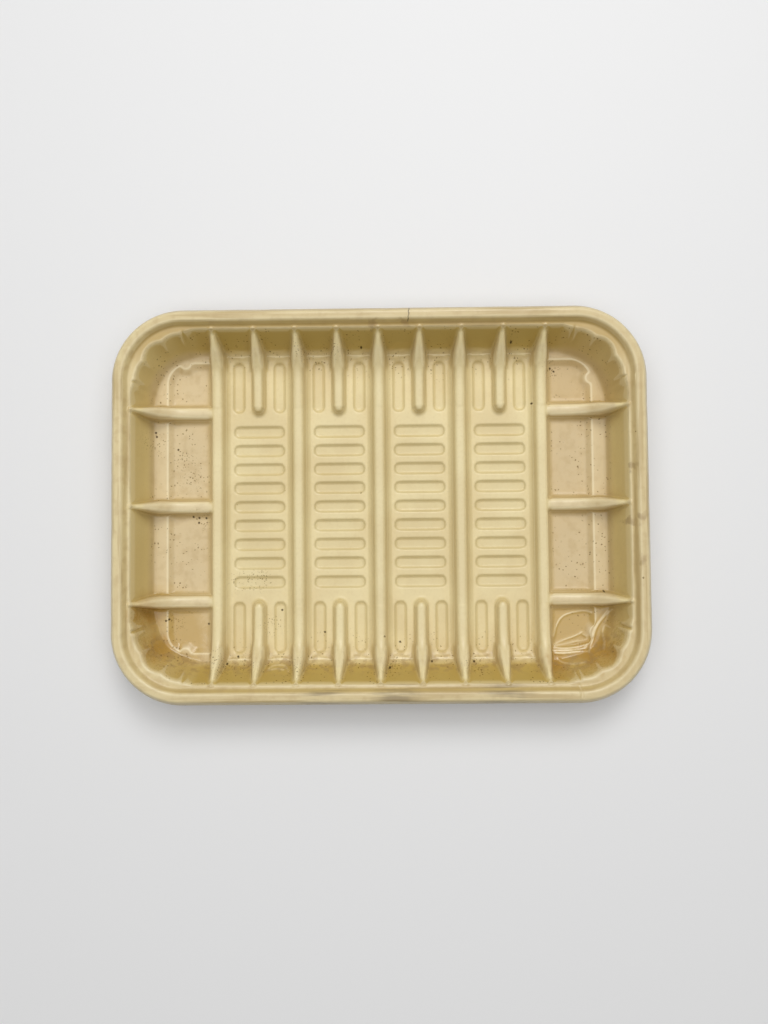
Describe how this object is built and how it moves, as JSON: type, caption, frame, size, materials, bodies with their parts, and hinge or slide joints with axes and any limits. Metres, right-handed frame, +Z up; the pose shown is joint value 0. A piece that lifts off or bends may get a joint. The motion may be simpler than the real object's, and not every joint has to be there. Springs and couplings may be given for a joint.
{
  "type": "plastic packaging tray",
  "caption": "Shallow rectangular thermoformed food tray with a raised rim, fluted corners, gusseted ribs and drain grooves in the floor.",
  "frame": {"origin": "middle of the plane that the tray rests on", "axes": "+X along the tray's length, +Y across it, +Z up out of the open well"},
  "size_m": [0.19, 0.14, 0.0186],
  "materials": {
    "tray_sheet": "semi-gloss cream thermoformed sheet, scuffed and lightly stained"
  },
  "bodies": {
    "root": {"tray": "tray_sheet"}
  },
  "joints": []
}
